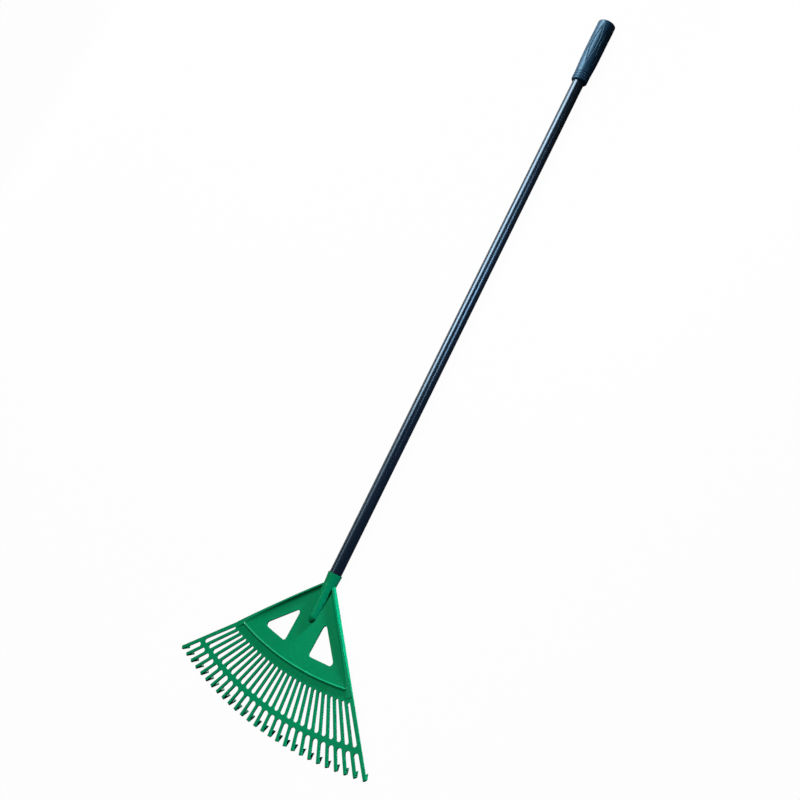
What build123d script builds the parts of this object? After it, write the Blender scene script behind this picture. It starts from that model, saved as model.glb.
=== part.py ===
from build123d import *
import os
from math import atan2, cos, degrees, radians, sin, sqrt, tan

# Leaf rake: one moulded plastic fan head, a plastic-covered steel tube handle, a hand grip and
# one fixing screw. Millimetres. +X across the fan, +Y up the handle toward the grip, +Z up:
# the rake lies with its top side up and its handle level. All parts are first drawn with the
# handle axis on Y and the socket mouth at Y 0, then moved together to the shared origin.

# handle
STEEL_D = 22.0             # outside of the steel tube
STEEL_T = 0.8
COVER_T = 0.3
TUBE_D = STEEL_D + 2 * COVER_T
SPIGOT_D = 17.0            # necked end inside the socket, over the cover
SHOULDER_Y = -8.0          # full tube diameter reaches this far into the socket
NECK_Y = -18.0
SPIGOT_END_Y = -64.0
HANDLE_END_Y = 1153.0      # end of the grip

# grip
GRIP_LENGTH = 130.0
GRIP_D = 35.4
GRIP_LOW_D = 31.6
GRIP_TOP_D = 34.8
GRIP_LIP_R = 1.5           # rounding of the lower lip
GRIP_END_R = 1.6           # rounding of the closed end
GRIP_RINGS_LENGTH = 22.0
GRIP_WIDEST_Y = 75.0       # from the lower lip
GRIP_END_WALL = 8.0
GRIP_LIP_BORE_D = 25.0
GRIP_BORE_TAPER = 3.0
RING_GROOVES = 3
RING_FIRST_Y = 6.0
RING_PITCH = 5.5
RING_DEPTH = 0.9
RING_R = 1.5
LEAVES = 7                 # leaf-shaped hollows round the grip
LEAF_Y = 79.0              # middle, from the lower lip
LEAF_LENGTH = 88.0
LEAF_DEPTH = 1.3
LEAF_HOLLOW_R = 70.0

# socket
MOUTH_D = 26.7
NECK_D = 24.0
NECK_END_Y = -19.0
TONGUE_D = 20.6
TONGUE_STRAIGHT_Y = -82.0
TONGUE_END_Y = -96.0
NOSE_STEPS = 6             # points along the round end of the tongue
SOCKET_CLEARANCE = 0.15

# fan plate, drawn flat: X across, V outward from the apex, T up from the top of the tines
APEX_Y = -10.9
APEX_Z = -3.23
FAN_RISE = 3.64            # degrees the fan rises above the handle axis going outward
HALF_ANGLE = 47.3
APEX_HALF_WIDTH = 0.4
PLATE_T = 2.6
PANEL_STEP = 1.8           # panel stands this much above the tines
STEP_SLOPE = 2.8
STEP_V = 164.6
STEP_R = 741.0
BAND_LAP = 16.0            # of the flat band under the panel
BEAD_W = 3.2               # low ridge along the panel's outer edge
BEAD_H = 0.8
BEAD_CREST = 1.12          # in from the bead's outer edge
PANEL_START_V = 9.5
PANEL_CORNER_R = 9.0
WINDOW = ((32.9, 68.6), (99.9, 127.9), (32.9, 133.9))
WINDOW_R = 5.6
GATE_MARK = (152.2, 1.7, 0.5)   # outward distance, radius, height

# side rims
RIM_T = 2.6
RIM_COVE_R = 8.0
RIM_WALL_H = 12.0
RIM_FOOT_T = 2.0           # under the inner edge of the cove
# height of the rim's top at outward distances
RIM_TOP = ((7, 6.0), (30, 6.8), (70, 6.2), (100, 4.9), (125, 3.2), (150, 0.6))

# tines
TINES = 27
TINE_W = 5.8
OUTER_TINE_EXTRA = 0.4     # outer hook runs out to the fan's side edge
FAN_CENTRE_V = 8.2
TIP_PITCH = 20.5           # along the tip arc
TIP_V, TIP_R = 282.0, 1013.0
SLOT_IN_V, SLOT_IN_R = 178.4, 773.0
SLOT_OUT_V, SLOT_OUT_R = 240.3, 895.0
GAP_IN_V, GAP_IN_R = 248.9, 893.0
END_ROUNDING = 0.4         # of the opening's width

# hooked tine ends
HOOK_DEPTH = 3.8           # of the end wall, from the top of the tine
HOOK_WALL_T = 1.8
HOOK_INSET = 0.5           # inside of the end wall, past the tine's square end
HOOK_LENGTH = 12.5         # of the lip that runs back and down under the tine
HOOK_SLOPE = 6.2           # drop of the lip over its length
HOOK_LIP_T = 1.3
HOOK_END_T = 1.2
HOOK_R = (1.2, 1.2, 0.4, 0.4)    # upper, lower, inside over the lip, inside under the tine
TINE_SPARE = 12.0          # tine length drawn past the tips, cut off again
TINE_END_BLOCK = (15.0, 48.0)    # size of the cutter that squares a tine off

# fixing screw, from below through the socket wall into the tube
SCREW_Y = -40.0
SCREW_D = 3.2
SCREW_HEAD_D = 7.0
SCREW_HEAD_H = 2.2
SCREW_HEAD_CHAMFER = (1.2, 1.0)
SCREW_LENGTH = 7.0
SCREW_POINT = (0.2, 2.0)   # radius of the tip, length of the point
SCREW_SEAT_Z = -10.2
SCREW_SLOT = (0.9, 4.2, 1.2)
SCREW_SEAT_PLAY = 0.5
SCREW_HOLE_PLAY = 0.4
SCREW_HOLE_Z = (-13.0, -5.0)

OVERLAP = 1.0              # joined shapes run this far into each other
CUT_RUN = 10.0             # cutters run this far past the faces they open


def side(sign, v):
    """Point on the straight side edge of the fan at outward distance v."""
    return (sign * (APEX_HALF_WIDTH + v * tan(radians(HALF_ANGLE))), -v)


def on_arc(start, heading, arc_v, arc_r):
    """Where a line in the flat fan meets the arc through V arc_v of radius arc_r."""
    rel_v = start[1] - (arc_v - arc_r)
    dx, dv = sin(heading), cos(heading)
    b = start[0] * dx + rel_v * dv
    c = start[0] ** 2 + rel_v ** 2 - arc_r ** 2
    d = -b + sqrt(b * b - c)
    return (start[0] + d * dx, start[1] + d * dv, d)


def side_on_arc(sign, arc_v, arc_r):
    x, v, _ = on_arc((APEX_HALF_WIDTH, 0), radians(HALF_ANGLE), arc_v, arc_r)
    return (sign * x, -v)


def tine_headings():
    """Angle of each tine from the centre line: the tips are evenly spaced along their arc."""
    headings = []
    for i in range(TINES):
        turn = (i - (TINES - 1) / 2) * TIP_PITCH / TIP_R
        x = TIP_R * sin(turn)
        v = TIP_V - TIP_R + TIP_R * cos(turn)
        headings.append(atan2(x, v - FAN_CENTRE_V))
    return headings


def tine_edge(heading, offset, arc_v, arc_r):
    """Point where one edge of a tine crosses an arc."""
    start = (offset * cos(heading), FAN_CENTRE_V - offset * sin(heading))
    x, v, _ = on_arc(start, heading, arc_v, arc_r)
    return (x, -v)


def rounded(points, radii):
    """Closed outline with each corner rounded."""
    face = Sketch() + make_face(Polyline(*points, close=True))
    for point, radius in zip(points, radii):
        if radius > 0:
            corner = face.vertices().sort_by_distance((point[0], point[1], 0))[0]
            face = fillet(corner, radius)
    return face


def gap_between(left, right, inner, outer, round_outer):
    """Opening between two neighbouring tines, from the inner arc to the outer one."""
    half = TINE_W / 2
    a = tine_edge(left, half, *inner)
    b = tine_edge(right, -half, *inner)
    c = tine_edge(right, -half, *outer)
    d = tine_edge(left, half, *outer)
    middle = (left + right) / 2
    r_in = END_ROUNDING * ((b[0] - a[0]) * cos(middle) + (b[1] - a[1]) * sin(middle))
    r_out = END_ROUNDING * ((c[0] - d[0]) * cos(middle) + (c[1] - d[1]) * sin(middle))
    if not round_outer:
        r_out = 0
    return rounded((a, b, c, d), (r_in, r_in, r_out, r_out))


def tine_band():
    """Flat band and tines, cut square where the hooked ends begin."""
    inner_v = STEP_V - BAND_LAP
    left_in, right_in = side_on_arc(-1, inner_v, STEP_R), side_on_arc(1, inner_v, STEP_R)
    far_v, far_r = TIP_V + TINE_SPARE, TIP_R
    left_out, right_out = side_on_arc(-1, far_v, far_r), side_on_arc(1, far_v, far_r)
    outline = [
        ThreePointArc(left_in, (0, -inner_v), right_in),
        Line(right_in, right_out),
        ThreePointArc(right_out, (0, -far_v), left_out),
        Line(left_out, left_in),
    ]
    band = make_face(outline)
    headings = tine_headings()
    cuts = []
    for left, right in zip(headings, headings[1:]):
        cuts.append(gap_between(left, right, (SLOT_IN_V, SLOT_IN_R), (SLOT_OUT_V, SLOT_OUT_R), True))
        cuts.append(gap_between(left, right, (GAP_IN_V, GAP_IN_R), (TIP_V + 2 * TINE_SPARE, TIP_R), False))
    for heading in headings:
        x, v, _ = tine_end(heading)
        block = Rectangle(*TINE_END_BLOCK, align=(Align.CENTER, Align.MAX))
        cuts.append(Pos(x, -v) * Rot(0, 0, degrees(heading)) * block)
    flat = Sketch() + band - cuts
    return extrude(flat, amount=-PLATE_T)


def tine_end(heading):
    """Point on the tine's centre line where its hook begins."""
    _, _, reach = on_arc((0, FAN_CENTRE_V), heading, TIP_V, TIP_R)
    reach -= HOOK_WALL_T + HOOK_INSET
    return (reach * sin(heading), FAN_CENTRE_V + reach * cos(heading), reach)


def hook(heading, low, high):
    """Tine end turned down and back under itself in a barb, between two offsets across the tine."""
    x, v, _ = tine_end(heading)
    outside = HOOK_WALL_T + HOOK_INSET
    inside = HOOK_INSET
    lip_end = outside - HOOK_LENGTH
    lip_low = -HOOK_DEPTH - HOOK_SLOPE
    lip_root = -HOOK_DEPTH - HOOK_SLOPE * HOOK_WALL_T / HOOK_LENGTH
    top_r, low_r, lip_r, under_r = HOOK_R
    corners = (
        (-OVERLAP, 0, 0),
        (outside, 0, top_r),
        (outside, -HOOK_DEPTH, low_r),
        (lip_end, lip_low, 0),
        (lip_end, lip_low + HOOK_END_T, 0),
        (inside, lip_root + HOOK_LIP_T, lip_r),
        (inside, -PLATE_T, under_r),
        (-OVERLAP, -PLATE_T, 0),
    )
    outline = rounded([(u, t) for u, t, _ in corners], [r for _, _, r in corners])
    across = Vector(-cos(heading), -sin(heading), 0)
    origin = Vector(x, -v, 0) - across * high
    plane = Plane(origin=origin, x_dir=(sin(heading), -cos(heading), 0), z_dir=across)
    return extrude(plane * outline, amount=high - low)


def panel():
    """Raised triangular panel with its two windows and the sloped step along its outer edge."""
    left, right = side_on_arc(-1, STEP_V, STEP_R), side_on_arc(1, STEP_V, STEP_R)
    left_in, right_in = side(-1, PANEL_START_V), side(1, PANEL_START_V)
    outline = [
        Line(left_in, right_in),
        Line(right_in, right),
        ThreePointArc(right, (0, -STEP_V), left),
        Line(left, left_in),
    ]
    foot = Sketch() + make_face(outline)
    for corner_point in (left, right):
        corner = foot.vertices().sort_by_distance((corner_point[0], corner_point[1], 0))[0]
        foot = fillet(corner, PANEL_CORNER_R)
    brow = offset(foot, amount=-STEP_SLOPE, kind=Kind.INTERSECTION)
    slab = extrude(foot, amount=PANEL_STEP - PLATE_T)
    slab += loft([foot.face(), Pos(0, 0, PANEL_STEP) * brow.face()], ruled=True)
    slab += bead(brow)
    for sign in (-1, 1):
        points = [(sign * x, -v) for x, v in WINDOW]
        hole = rounded(points, (WINDOW_R, WINDOW_R, WINDOW_R))
        slab -= extrude(hole, amount=CUT_RUN, both=True)
    mark_v, mark_r, mark_h = GATE_MARK
    return slab + Pos(0, -mark_v, PANEL_STEP) * Cylinder(mark_r, 2 * mark_h)


def bead(brow):
    """Low ridge along the edge of the panel, steep outside and sloping to the panel inside."""
    middle = offset(brow, amount=-BEAD_CREST, kind=Kind.INTERSECTION)
    inner = offset(brow, amount=-BEAD_W, kind=Kind.INTERSECTION)
    top = Pos(0, 0, PANEL_STEP + BEAD_H)
    mound = loft([Pos(0, 0, PANEL_STEP) * brow.face(), top * middle.face()], ruled=True)
    hollow = loft([Pos(0, 0, PANEL_STEP) * inner.face(), top * middle.face()], ruled=True)
    return mound - hollow


def rim():
    """Right side rim: an upright wall with a cove inside, its top running down to nothing."""
    h = radians(HALF_ANGLE)
    along = Vector(sin(h), -cos(h), 0)
    inward = Vector(-cos(h), -sin(h), 0)
    corner = Vector(APEX_HALF_WIDTH, 0, 0)
    first_v, last_v = RIM_TOP[0][0], RIM_TOP[-1][0]
    wall_h = RIM_WALL_H
    base = PANEL_STEP
    cove_end = -(RIM_T + RIM_COVE_R)
    cove_mid = (1 - sqrt(0.5)) * RIM_COVE_R
    section = [
        Line((0, -PLATE_T), (0, wall_h)),
        Line((0, wall_h), (-RIM_T, wall_h)),
        Line((-RIM_T, wall_h), (-RIM_T, base + RIM_COVE_R)),
        ThreePointArc(
            (-RIM_T, base + RIM_COVE_R),
            (-RIM_T - cove_mid, base + cove_mid),
            (cove_end, base),
        ),
        Line((cove_end, base), (cove_end, base - RIM_FOOT_T)),
        Line((cove_end, base - RIM_FOOT_T), (-RIM_T, -PLATE_T)),
        Line((-RIM_T, -PLATE_T), (0, -PLATE_T)),
    ]
    section_plane = Plane(origin=corner, x_dir=-inward, z_dir=along)
    bar = extrude(section_plane * make_face(section), amount=last_v / cos(h))
    top = [(v / cos(h), t) for v, t in RIM_TOP]
    first, last = first_v / cos(h), last_v / cos(h)
    outline = [
        Spline(*top),
        Line(top[-1], (last, -PLATE_T)),
        Line((last, -PLATE_T), (first, -PLATE_T)),
        Line((first, -PLATE_T), top[0]),
    ]
    profile_plane = Plane(origin=corner, x_dir=along, z_dir=inward)
    return bar & extrude(profile_plane * make_face(outline), amount=RIM_T + RIM_COVE_R + OVERLAP)


def turned(points):
    """Solid of revolution about the handle axis from (radius, Y) points."""
    face = make_face(Polyline(*points, close=True))
    return revolve(face, axis=Axis.Y)


def necked(radius, spigot_radius, end_y):
    """Outline points of the handle's outside from its lower end up to end_y."""
    return [(spigot_radius, SPIGOT_END_Y), (spigot_radius, NECK_Y), (radius, SHOULDER_Y), (radius, end_y)]


def socket_body():
    """Flared collar running into a round-ended tongue."""
    r = TONGUE_D / 2
    length = TONGUE_STRAIGHT_Y - TONGUE_END_Y
    turns = [radians(90 / NOSE_STEPS * i) for i in range(NOSE_STEPS + 1)]
    nose = [(r * cos(turn), TONGUE_STRAIGHT_Y - length * sin(turn)) for turn in turns]
    outline = [
        Line((0, 0), (MOUTH_D / 2, 0)),
        Line((MOUTH_D / 2, 0), (NECK_D / 2, NECK_END_Y)),
        Line((NECK_D / 2, NECK_END_Y), nose[0]),
        Spline(*nose, tangents=((0, -1), (-1, 0))),
        Line(nose[-1], (0, 0)),
    ]
    return revolve(make_face(outline), axis=Axis.Y)


def socket_bore():
    points = necked(TUBE_D / 2 + SOCKET_CLEARANCE, SPIGOT_D / 2 + SOCKET_CLEARANCE, CUT_RUN)
    return turned([(0, SPIGOT_END_Y)] + points + [(0, CUT_RUN)])


def screw_path(diameter):
    """Round cutter along the screw axis, from below the socket to past the tube wall."""
    low, high = SCREW_HOLE_Z
    return Pos(0, SCREW_Y, (low + high) / 2) * Cylinder(diameter / 2, high - low)


def rake_head():
    fan = panel() + tine_band()
    right_rim = rim()
    fan = fan + right_rim + mirror(right_rim, about=Plane.YZ)
    headings = tine_headings()
    half = TINE_W / 2
    hooks = []
    for i, heading in enumerate(headings):
        low = -half - (OUTER_TINE_EXTRA if i == 0 else 0)
        high = half + (OUTER_TINE_EXTRA if i == TINES - 1 else 0)
        hooks.append(hook(heading, low, high))
    fan = fan + hooks
    fan = Pos(0, APEX_Y, APEX_Z) * Rot(-FAN_RISE, 0, 0) * fan
    head = fan + socket_body() - socket_bore()
    seat_r = SCREW_HEAD_D / 2 + SCREW_SEAT_PLAY
    seat = Cylinder(seat_r, CUT_RUN, align=(Align.CENTER, Align.CENTER, Align.MAX))
    return head - Pos(0, SCREW_Y, SCREW_SEAT_Z) * seat - screw_path(SCREW_D + SCREW_HOLE_PLAY)


def handle_cover():
    outside = necked(TUBE_D / 2, SPIGOT_D / 2, HANDLE_END_Y - GRIP_END_WALL)
    inside = necked(TUBE_D / 2 - COVER_T, SPIGOT_D / 2 - COVER_T, HANDLE_END_Y - GRIP_END_WALL)
    return turned(outside + inside[::-1]) - screw_path(SCREW_D)


def handle_tube():
    gone = COVER_T + STEEL_T
    outside = necked(TUBE_D / 2 - COVER_T, SPIGOT_D / 2 - COVER_T, HANDLE_END_Y - GRIP_END_WALL)
    inside = necked(TUBE_D / 2 - gone, SPIGOT_D / 2 - gone, HANDLE_END_Y - GRIP_END_WALL)
    return turned(outside + inside[::-1]) - screw_path(SCREW_D)


def handle_grip():
    """Sleeve with a closed end, three ring grooves above the lip and leaf-shaped hollows round it."""
    low, end = HANDLE_END_Y - GRIP_LENGTH, HANDLE_END_Y
    wall = end - GRIP_END_WALL
    r, r_low, r_top = GRIP_D / 2, GRIP_LOW_D / 2, GRIP_TOP_D / 2
    bore, lip_bore = TUBE_D / 2, GRIP_LIP_BORE_D / 2
    lip_r, end_r = GRIP_LIP_R, GRIP_END_R
    rings_end = (r_low, low + GRIP_RINGS_LENGTH)
    outline = [
        Line((lip_bore, low), (r_low - lip_r, low)),
        RadiusArc((r_low - lip_r, low), (r_low, low + lip_r), -lip_r),
        Line((r_low, low + lip_r), rings_end),
        ThreePointArc(rings_end, (r, low + GRIP_WIDEST_Y), (r_top, end - end_r)),
        RadiusArc((r_top, end - end_r), (r_top - end_r, end), -end_r),
        Line((r_top - end_r, end), (0, end)),
        Line((0, end), (0, wall)),
        Line((0, wall), (bore, wall)),
        Line((bore, wall), (bore, low + GRIP_BORE_TAPER)),
        Line((bore, low + GRIP_BORE_TAPER), (lip_bore, low)),
    ]
    grip = revolve(make_face(outline), axis=Axis.Y)
    for i in range(RING_GROOVES):
        y = low + RING_FIRST_Y + i * RING_PITCH
        grip -= Pos(0, y, 0) * Rot(90, 0, 0) * Torus(r_low - RING_DEPTH + RING_R, RING_R)
    bow_r = (LEAF_LENGTH / 2) ** 2 / (2 * LEAF_DEPTH)
    away = r - LEAF_DEPTH + bow_r
    cutter = Pos(0, 0, away) * Rot(0, 90, 0) * Torus(bow_r - LEAF_HOLLOW_R, LEAF_HOLLOW_R)
    for i in range(LEAVES):
        grip -= Pos(0, low + LEAF_Y, 0) * Rot(0, 360 / LEAVES * (i + 0.5), 0) * cutter
    return grip


def socket_screw():
    r = SCREW_HEAD_D / 2
    head_low = SCREW_SEAT_Z - SCREW_HEAD_H
    chamfer_in, chamfer_up = SCREW_HEAD_CHAMFER
    point_r, point_length = SCREW_POINT
    tip_z = SCREW_SEAT_Z + SCREW_LENGTH
    points = [
        (0, head_low),
        (r - chamfer_in, head_low),
        (r, head_low + chamfer_up),
        (r, SCREW_SEAT_Z),
        (SCREW_D / 2, SCREW_SEAT_Z),
        (SCREW_D / 2, tip_z - point_length),
        (point_r, tip_z),
        (0, tip_z),
    ]
    screw = revolve(Plane.XZ * make_face(Polyline(*points, close=True)), axis=Axis.Z)
    width, length, depth = SCREW_SLOT
    for turn in (0, 90):
        screw -= Pos(0, 0, head_low) * Rot(0, 0, turn) * Box(width, length, 2 * depth)
    return Pos(0, SCREW_Y, 0) * screw


pieces = {
    "rake_head": rake_head(),
    "handle_tube": handle_tube(),
    "handle_cover": handle_cover(),
    "handle_grip": handle_grip(),
    "socket_screw": socket_screw(),
}

tip_y = pieces["rake_head"].bounding_box().min.Y
floor_z = pieces["handle_grip"].bounding_box().min.Z
to_origin = Pos(0, -(tip_y + HANDLE_END_Y) / 2, -floor_z)

os.makedirs("parts", exist_ok=True)
for name, piece in pieces.items():
    export_step(to_origin * piece, f"parts/{name}.step")
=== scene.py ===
from math import cos, pi, radians, sin, tau

import bpy
from mathutils import Matrix, Vector


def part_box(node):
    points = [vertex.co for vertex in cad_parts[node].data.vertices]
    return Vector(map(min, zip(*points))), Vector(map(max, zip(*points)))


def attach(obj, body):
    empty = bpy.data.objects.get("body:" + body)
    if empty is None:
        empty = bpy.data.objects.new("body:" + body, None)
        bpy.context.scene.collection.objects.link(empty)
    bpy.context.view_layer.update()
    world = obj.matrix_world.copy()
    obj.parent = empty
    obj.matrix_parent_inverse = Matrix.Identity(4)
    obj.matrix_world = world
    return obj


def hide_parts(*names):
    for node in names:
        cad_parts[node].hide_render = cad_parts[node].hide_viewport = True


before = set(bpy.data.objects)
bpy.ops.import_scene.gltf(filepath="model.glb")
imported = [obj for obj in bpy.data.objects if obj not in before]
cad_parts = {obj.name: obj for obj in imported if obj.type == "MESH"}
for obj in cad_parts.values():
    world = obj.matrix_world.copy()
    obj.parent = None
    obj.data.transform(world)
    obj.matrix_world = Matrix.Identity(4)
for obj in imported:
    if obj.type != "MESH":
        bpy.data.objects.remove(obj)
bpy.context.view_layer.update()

# Lengths are in metres and angles in degrees. The rake lies on the floor with its handle along Y,
# above X 0: the fan is at the low end, the grip at the high end.
MM = 0.001
COVER_LOW, COVER_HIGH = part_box("handle_cover")
GRIP_LOW, GRIP_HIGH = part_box("handle_grip")
HEAD_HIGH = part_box("rake_head")[1]
AXIS_Z = (COVER_LOW.z + COVER_HIGH.z) / 2
SOCKET_MOUTH = Vector((0.0, HEAD_HIGH.y, AXIS_Z))

# camera: its place from the socket's mouth; it starts out looking straight down, is rolled about
# its line of sight, then tilted about X, then leaned to the side about Y
CAMERA_OFFSET = Vector((1.3169, 0.0719, 1.3912))
CAMERA_ROLL = 26.445
CAMERA_TILT = 7.634
CAMERA_SIDE = 44.471
CAMERA_LENS = 48.137       # millimetres of focal length, for the sensor below
CAMERA_SENSOR = 36.0

# studio
WORLD_COLOR = (0.9, 0.95, 1.0, 1)
WHITE = (1, 1, 1, 1)
AMBIENT = 0.04             # strength of the world as a light
BACKGROUND = 1.0           # strength of the world where the camera sees it
FLOOR_SIZE = 12.0
FLOOR_PAINT = (0.03, 0.03, 0.03, 1)
FLOOR_GLOW = 1.25
FLOOR_GLOW_SHARE = 0.78    # of the floor as the camera sees it; the rest is the paint
KEY_COLOR = (0.97, 0.99, 1.0)
FRONT_COLOR = (0.75, 0.92, 1.1)
SIDE_COLOR = (1.0, 0.95, 1.3)


def make_camera():
    """Camera at the photograph's viewing angle."""
    data = bpy.data.cameras.new("camera")
    data.lens = CAMERA_LENS
    data.sensor_width = CAMERA_SENSOR
    obj = bpy.data.objects.new("camera", data)
    bpy.context.scene.collection.objects.link(obj)
    turn = (
        Matrix.Rotation(radians(CAMERA_SIDE), 4, "Y")
        @ Matrix.Rotation(radians(CAMERA_TILT), 4, "X")
        @ Matrix.Rotation(radians(CAMERA_ROLL), 4, "Z")
    )
    obj.matrix_world = Matrix.Translation(SOCKET_MOUTH + CAMERA_OFFSET) @ turn
    bpy.context.scene.camera = obj


def area_light(name, place, target, width, length, power, color, spread=180):
    """Rectangular soft light at place, facing target; its long side stays close to Y."""
    data = bpy.data.lights.new(name, "AREA")
    data.shape = "RECTANGLE"
    data.size = width
    data.size_y = length
    data.energy = power
    data.color = color
    data.spread = radians(spread)
    obj = bpy.data.objects.new(name, data)
    bpy.context.scene.collection.objects.link(obj)
    back = (Vector(place) - Vector(target)).normalized()
    side = Vector((0, 1, 0)).cross(back).normalized()
    along = back.cross(side)
    turn = Matrix((side, along, back)).transposed().to_4x4()
    obj.matrix_world = Matrix.Translation(place) @ turn


def make_lights():
    """Large key light from the upper left, and four small ones for the edges and highlights."""
    area_light("key", place=(-0.86, 1.3, 2.15), target=(0.0, 0.5, 0.0),
               width=1.5, length=2.2, power=200, color=KEY_COLOR)
    area_light("key_low", place=(-0.86, -0.25, 2.15), target=(0.0, -0.25, 0.0),
               width=0.35, length=0.9, power=6, color=KEY_COLOR)
    area_light("left_low", place=(-2.0, 0.9, 0.3), target=(0.0, 0.7, 0.0),
               width=0.5, length=2.8, power=14, color=KEY_COLOR)
    # the second, thinner highlight along the handle
    area_light("front", place=(1.74, 0.66, 0.98), target=(0.0, 0.2, 0.0),
               width=0.8, length=0.5, power=0.75, color=FRONT_COLOR, spread=26)
    # the sheen on the right rim of the fan
    area_light("rim_side", place=(0.9, 2.2, 0.22), target=(0.1, -0.5, 0.0),
               width=0.4, length=0.3, power=7, color=SIDE_COLOR, spread=20)


def make_world():
    """Dim all round for the light it gives, white where the camera sees it."""
    world = bpy.data.worlds.new("studio")
    world.use_nodes = True
    nodes, links = world.node_tree.nodes, world.node_tree.links
    nodes.clear()
    dim = nodes.new("ShaderNodeBackground")
    dim.inputs["Color"].default_value = WORLD_COLOR
    dim.inputs["Strength"].default_value = AMBIENT
    pale = nodes.new("ShaderNodeBackground")
    pale.inputs["Color"].default_value = WHITE
    pale.inputs["Strength"].default_value = BACKGROUND
    path = nodes.new("ShaderNodeLightPath")
    mix = nodes.new("ShaderNodeMixShader")
    out = nodes.new("ShaderNodeOutputWorld")
    links.new(path.outputs["Is Camera Ray"], mix.inputs["Fac"])
    links.new(dim.outputs[0], mix.inputs[1])
    links.new(pale.outputs[0], mix.inputs[2])
    links.new(mix.outputs[0], out.inputs["Surface"])
    bpy.context.scene.world = world


def make_floor():
    """Flat floor that looks white and shows only faint shadows, and sends little light back."""
    half = FLOOR_SIZE / 2
    mesh = bpy.data.meshes.new("floor")
    corners = [(-half, -half, 0), (half, -half, 0), (half, half, 0), (-half, half, 0)]
    mesh.from_pydata(corners, [], [(0, 1, 2, 3)])
    floor = bpy.data.objects.new("floor", mesh)
    bpy.context.scene.collection.objects.link(floor)
    material = bpy.data.materials.new("floor_white")
    material.use_nodes = True
    nodes, links = material.node_tree.nodes, material.node_tree.links
    nodes.clear()
    paint = nodes.new("ShaderNodeBsdfDiffuse")
    paint.inputs["Color"].default_value = FLOOR_PAINT
    glow = nodes.new("ShaderNodeEmission")
    glow.inputs["Color"].default_value = WHITE
    glow.inputs["Strength"].default_value = FLOOR_GLOW
    path = nodes.new("ShaderNodeLightPath")
    share = nodes.new("ShaderNodeMath")
    share.operation = "MULTIPLY"
    share.inputs[1].default_value = FLOOR_GLOW_SHARE
    mix = nodes.new("ShaderNodeMixShader")
    out = nodes.new("ShaderNodeOutputMaterial")
    links.new(path.outputs["Is Camera Ray"], share.inputs[0])
    links.new(share.outputs[0], mix.inputs["Fac"])
    links.new(paint.outputs[0], mix.inputs[1])
    links.new(glow.outputs[0], mix.inputs[2])
    links.new(mix.outputs[0], out.inputs["Surface"])
    mesh.materials.append(material)


class Look:
    """A material under construction: a Principled shader and the textures that drive it."""

    # the values that a noise texture mostly keeps to
    NOISE_LOW, NOISE_HIGH = 0.3, 0.7
    # the sockets of a Mix node that carry colours
    MIX_FIRST, MIX_SECOND, MIX_RESULT = 6, 7, 2

    def __init__(self, name):
        self.material = bpy.data.materials.new(name)
        self.material.use_nodes = True
        self.nodes = self.material.node_tree.nodes
        self.links = self.material.node_tree.links
        self.shader = self.nodes["Principled BSDF"]
        self.place = self.nodes.new("ShaderNodeTexCoord").outputs["Object"]
        self.normal = None

    def set(self, **values):
        """Constants on the shader's own sockets."""
        for socket, value in values.items():
            self.shader.inputs[socket.replace("_", " ")].default_value = value

    def noise(self, scale, detail=2.0, stretch=None):
        """Noise with scale features per metre; a stretch below 1 draws them out along that axis."""
        node = self.nodes.new("ShaderNodeTexNoise")
        node.inputs["Scale"].default_value = scale
        node.inputs["Detail"].default_value = detail
        place = self.place
        if stretch:
            mapping = self.nodes.new("ShaderNodeMapping")
            mapping.inputs["Scale"].default_value = stretch
            self.links.new(place, mapping.inputs["Vector"])
            place = mapping.outputs["Vector"]
        self.links.new(place, node.inputs["Vector"])
        return node.outputs["Fac"]

    def ranged(self, value, low, high):
        """The noise value spread from low to high."""
        node = self.nodes.new("ShaderNodeMapRange")
        node.inputs["From Min"].default_value = self.NOISE_LOW
        node.inputs["From Max"].default_value = self.NOISE_HIGH
        node.inputs["To Min"].default_value = low
        node.inputs["To Max"].default_value = high
        self.links.new(value, node.inputs["Value"])
        return node.outputs["Result"]

    def roughness(self, value, low, high):
        """Roughness spread from low to high by the noise value."""
        self.links.new(self.ranged(value, low, high), self.shader.inputs["Roughness"])

    def tint(self, value, first, second):
        """Base colour between first, a colour or an earlier tint, and second, a colour."""
        mix = self.nodes.new("ShaderNodeMix")
        mix.data_type = "RGBA"
        self.links.new(self.ranged(value, 0.0, 1.0), mix.inputs["Factor"])
        if isinstance(first, tuple):
            mix.inputs[self.MIX_FIRST].default_value = (*first, 1)
        else:
            self.links.new(first, mix.inputs[self.MIX_FIRST])
        mix.inputs[self.MIX_SECOND].default_value = (*second, 1)
        self.links.new(mix.outputs[self.MIX_RESULT], self.shader.inputs["Base Color"])
        return mix.outputs[self.MIX_RESULT]

    def bump(self, value, depth, strength=1.0):
        """One more layer of surface relief."""
        node = self.nodes.new("ShaderNodeBump")
        node.inputs["Distance"].default_value = depth
        node.inputs["Strength"].default_value = strength
        self.links.new(value, node.inputs["Height"])
        if self.normal:
            self.links.new(self.normal, node.inputs["Normal"])
        self.normal = node.outputs["Normal"]
        self.links.new(self.normal, self.shader.inputs["Normal"])


def head_plastic():
    """Green polypropylene straight from the mould: satin, with faint flow streaks."""
    look = Look("head_plastic_green")
    flow = look.noise(9.0, detail=3.0, stretch=(1.0, 0.35, 1.0))
    streaks = look.tint(flow, (0.0, 0.104, 0.038), (0.0, 0.115, 0.042))
    look.tint(look.noise(260.0), streaks, (0.0, 0.096, 0.035))
    look.roughness(look.noise(40.0, detail=3.0), 0.18, 0.25)
    look.bump(look.noise(900.0), depth=0.01 * MM)
    look.bump(look.noise(35.0), depth=0.25 * MM, strength=0.5)
    look.set(Specular_IOR_Level=0.18)
    return look.material


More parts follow.
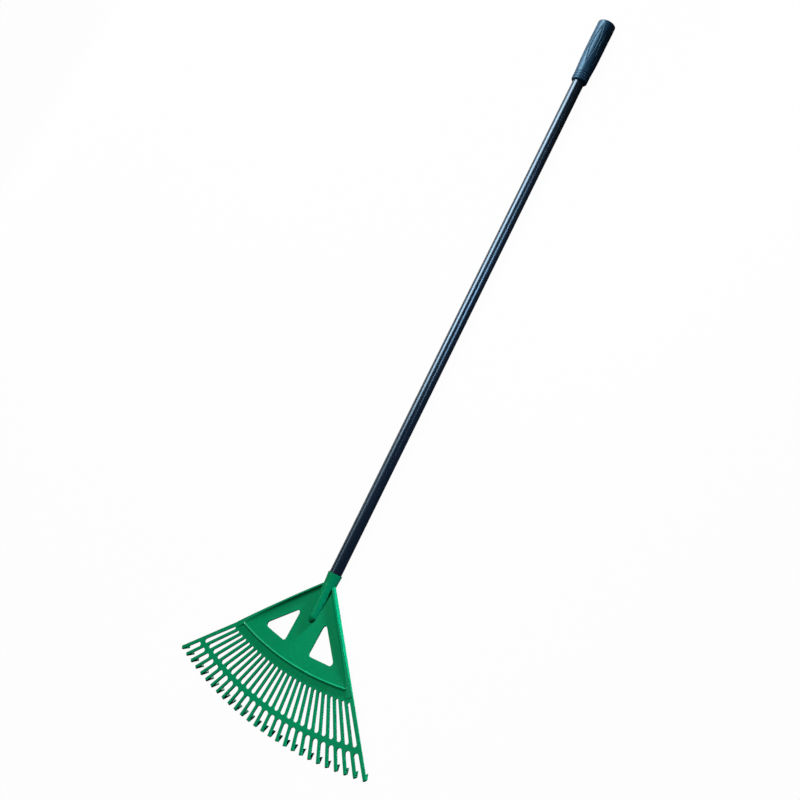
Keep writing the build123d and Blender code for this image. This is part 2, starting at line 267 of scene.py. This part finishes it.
def cover_plastic():
    """Near-black navy film shrunk on the tube: glossy, with faint lengthwise waviness."""
    look = Look("cover_plastic_navy")
    shade = look.noise(20.0, stretch=(1, 0.2, 1))
    look.tint(shade, (0.0006, 0.0020, 0.0040), (0.0010, 0.0030, 0.0060))
    look.roughness(look.noise(60.0, detail=3.0, stretch=(1, 0.1, 1)), 0.22, 0.30)
    look.bump(look.noise(240.0, stretch=(1, 0.03, 1)), depth=0.004 * MM)
    look.bump(look.noise(700.0, detail=1.0), depth=0.0012 * MM)
    look.set(Specular_IOR_Level=0.65, Specular_Tint=(0.50, 0.76, 1.0, 1))
    return look.material


def grip_plastic():
    """Steel-blue hand grip: satin, with a fine matte texture."""
    look = Look("grip_plastic_blue")
    clouds = look.tint(look.noise(30.0, detail=3.0), (0.0016, 0.015, 0.033), (0.0024, 0.020, 0.044))
    look.tint(look.noise(700.0), clouds, (0.0014, 0.013, 0.029))
    look.roughness(look.noise(120.0, detail=3.0), 0.38, 0.50)
    look.bump(look.noise(1100.0, detail=1.0), depth=0.003 * MM)
    look.set(Specular_IOR_Level=0.52, Specular_Tint=(0.32, 0.70, 1.0, 1))
    return look.material


def tube_steel():
    """Drawn steel tube, with fine lengthwise lines."""
    look = Look("tube_steel_drawn")
    shade = look.noise(50.0, detail=3.0, stretch=(1, 0.05, 1))
    look.tint(shade, (0.42, 0.43, 0.45), (0.58, 0.59, 0.60))
    look.roughness(look.noise(300.0, detail=3.0, stretch=(1, 0.02, 1)), 0.28, 0.45)
    look.bump(look.noise(900.0, stretch=(1, 0.01, 1)), depth=0.01 * MM)
    look.set(Metallic=1.0)
    return look.material


def screw_steel():
    """Zinc-plated screw: bright, a little mottled."""
    look = Look("screw_steel_zinc")
    look.tint(look.noise(900.0, detail=3.0), (0.52, 0.54, 0.56), (0.68, 0.69, 0.70))
    look.roughness(look.noise(1500.0, detail=3.0), 0.22, 0.40)
    look.bump(look.noise(2500.0), depth=0.01 * MM)
    look.set(Metallic=1.0)
    return look.material


def dress(node, material):
    """The CAD node keeps its mesh and takes the material."""
    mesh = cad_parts[node].data
    mesh.materials.clear()
    mesh.materials.append(material)


# grip: radii of the sleeve, and distances t along it from its lower lip
GRIP_LENGTH = GRIP_HIGH.y - GRIP_LOW.y
LIP_R = 15.8 * MM          # of the ringed part, down to the lip
WIDEST_R = 17.55 * MM
END_R = 17.4 * MM
RINGS_END = 22 * MM
WIDEST = 75 * MM
LIP_ROUND = 4.0 * MM
END_ROUND = 1.6 * MM
RING_GROOVES = (6.0 * MM, 11.5 * MM, 17.0 * MM)
RING_HALF_WIDTH = 1.9 * MM
RING_DEPTH = 0.9 * MM

# the bore, which fits the covered tube and opens out a little at the lip
BORE_R = (COVER_HIGH.x - COVER_LOW.x) / 2
BORE_LIP_R = BORE_R + 0.25 * MM
BORE_FLARE = 3 * MM
BORE_DEPTH = COVER_HIGH.y - GRIP_LOW.y

# the leaves round the middle, each inside a leaf-shaped groove
LEAVES = 7
LEAF_FIRST = 67.0          # angle of one leaf about the axis, from +X toward +Z
LEAF_MIDDLE = 79 * MM
LEAF_HALF_LENGTH = 44 * MM
LEAF_HALF_WIDTH = 6.6 * MM
LEAF_GROOVE = 2.6 * MM     # width of the groove
LEAF_WALL = 1.1 * MM       # width of the slope on either side of it
LEAF_DEPTH = 1.15 * MM
LEAF_SINK = 0.25           # share of the groove's depth by which the leaf lies lower

# the closed end, from its rim inward: share of the end's radius, millimetres below the rim
END_DISC = ((0.985, 0.0), (0.90, 0.0), (0.86, 0.5), (0.80, 0.7), (0.4, 0.75), (0.08, 0.75))

# how fine the mesh is: points round it, steps along it, degrees per step on the rounded edges
AROUND = 336
ALONG = 220
LIP_STEP = 15
END_STEP = 9


def smooth(x):
    """0 to 1 with a level start and end, as x goes from 0 to 1."""
    x = min(max(x, 0.0), 1.0)
    return x * x * (3 - 2 * x)


def sleeve_radius(t):
    """Outer radius of the grip at distance t, without rings and leaves."""
    if t < RINGS_END:
        r = LIP_R
    elif t < WIDEST:
        r = LIP_R + (WIDEST_R - LIP_R) * (1 - ((WIDEST - t) / (WIDEST - RINGS_END)) ** 2)
    else:
        r = WIDEST_R - (WIDEST_R - END_R) * ((t - WIDEST) / (GRIP_LENGTH - WIDEST)) ** 2
    if t < LIP_ROUND:
        r -= LIP_ROUND - (LIP_ROUND**2 - (LIP_ROUND - t) ** 2) ** 0.5
    rest = GRIP_LENGTH - t
    if rest < END_ROUND:
        r -= END_ROUND - (END_ROUND**2 - (END_ROUND - rest) ** 2) ** 0.5
    return r


def ring_depth(t):
    """Depth of the three ring grooves near the lip."""
    deepest = 0.0
    for middle in RING_GROOVES:
        deepest = max(deepest, RING_DEPTH * (1 - smooth(abs(t - middle) / RING_HALF_WIDTH)))
    return deepest


def leaf_depth(angle, t):
    """Depth of the leaf-shaped grooves, and of the leaves inside them."""
    s = (t - LEAF_MIDDLE) / LEAF_HALF_LENGTH
    if abs(s) >= 1.0:
        return 0.0
    turn = (angle - radians(LEAF_FIRST) + pi / LEAVES) % (tau / LEAVES) - pi / LEAVES
    across = abs(turn) * WIDEST_R
    outer = LEAF_HALF_WIDTH * (1 - s * s)
    inner = outer - LEAF_GROOVE
    wall_out = smooth((outer - across) / LEAF_WALL)
    wall_in = smooth((across - inner) / LEAF_WALL)
    return LEAF_DEPTH * wall_out * max(wall_in, LEAF_SINK)


def outside_distances():
    """Distances of the rings of points on the outside, closer together on the rounded edges."""
    lip = [LIP_ROUND * (1 - cos(radians(angle))) for angle in range(0, 90, LIP_STEP)]
    end = [GRIP_LENGTH - END_ROUND * (1 - cos(radians(angle))) for angle in range(0, 91, END_STEP)]
    steps = [GRIP_LENGTH * i / ALONG for i in range(ALONG + 1)]
    middle = [t for t in steps if LIP_ROUND < t < GRIP_LENGTH - END_ROUND]
    return sorted(set(lip + middle + end))


def grip_rings():
    """Rings of points as (distance, radii): down the bore to the lip, up the outside, in over the end."""
    rings = [
        (BORE_DEPTH, [BORE_R] * AROUND),
        (BORE_FLARE, [BORE_R] * AROUND),
        (0.0, [BORE_LIP_R] * AROUND),
    ]
    for t in outside_distances():
        base = sleeve_radius(t) - ring_depth(t)
        rings.append((t, [base - leaf_depth(tau * j / AROUND, t) for j in range(AROUND)]))
    end_r = sleeve_radius(GRIP_LENGTH)
    for share, sink in END_DISC:
        rings.append((GRIP_LENGTH - sink * MM, [end_r * share] * AROUND))
    return rings


def grip_mesh():
    """Closed mesh of the grip: its rings of points, and a centre point at either end of them."""
    rings = grip_rings()
    verts = []
    for t, radii in rings:
        for j, r in enumerate(radii):
            angle = tau * j / AROUND
            verts.append((r * cos(angle), GRIP_LOW.y + t, AXIS_Z + r * sin(angle)))
    end_centre = len(verts)
    verts.append((0.0, GRIP_LOW.y + rings[-1][0], AXIS_Z))
    bore_centre = len(verts)
    verts.append((0.0, GRIP_LOW.y + BORE_DEPTH, AXIS_Z))
    last = (len(rings) - 1) * AROUND
    faces = []
    for j in range(AROUND):
        k = (j + 1) % AROUND
        # two neighbouring rings start at first and second in verts
        for first in range(0, last, AROUND):
            second = first + AROUND
            faces.append((first + j, second + j, second + k, first + k))
        faces.append((last + j, end_centre, last + k))
        faces.append((j, k, bore_centre))
    mesh = bpy.data.meshes.new("grip_sleeve")
    mesh.from_pydata(verts, [], faces)
    mesh.shade_smooth()
    return mesh


def make_grip():
    """Hand grip: a tapered sleeve with rings, leaf-shaped grooves, a closed end and an open lip."""
    mesh = grip_mesh()
    mesh.materials.append(grip_plastic())
    grip = bpy.data.objects.new("grip_sleeve", mesh)
    bpy.context.scene.collection.objects.link(grip)
    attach(grip, "root")
    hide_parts("handle_grip")


bpy.context.scene.view_settings.view_transform = "Standard"
make_camera()
make_world()
make_lights()
make_floor()

dress("rake_head", head_plastic())
dress("handle_cover", cover_plastic())
dress("handle_tube", tube_steel())
dress("socket_screw", screw_steel())
make_grip()
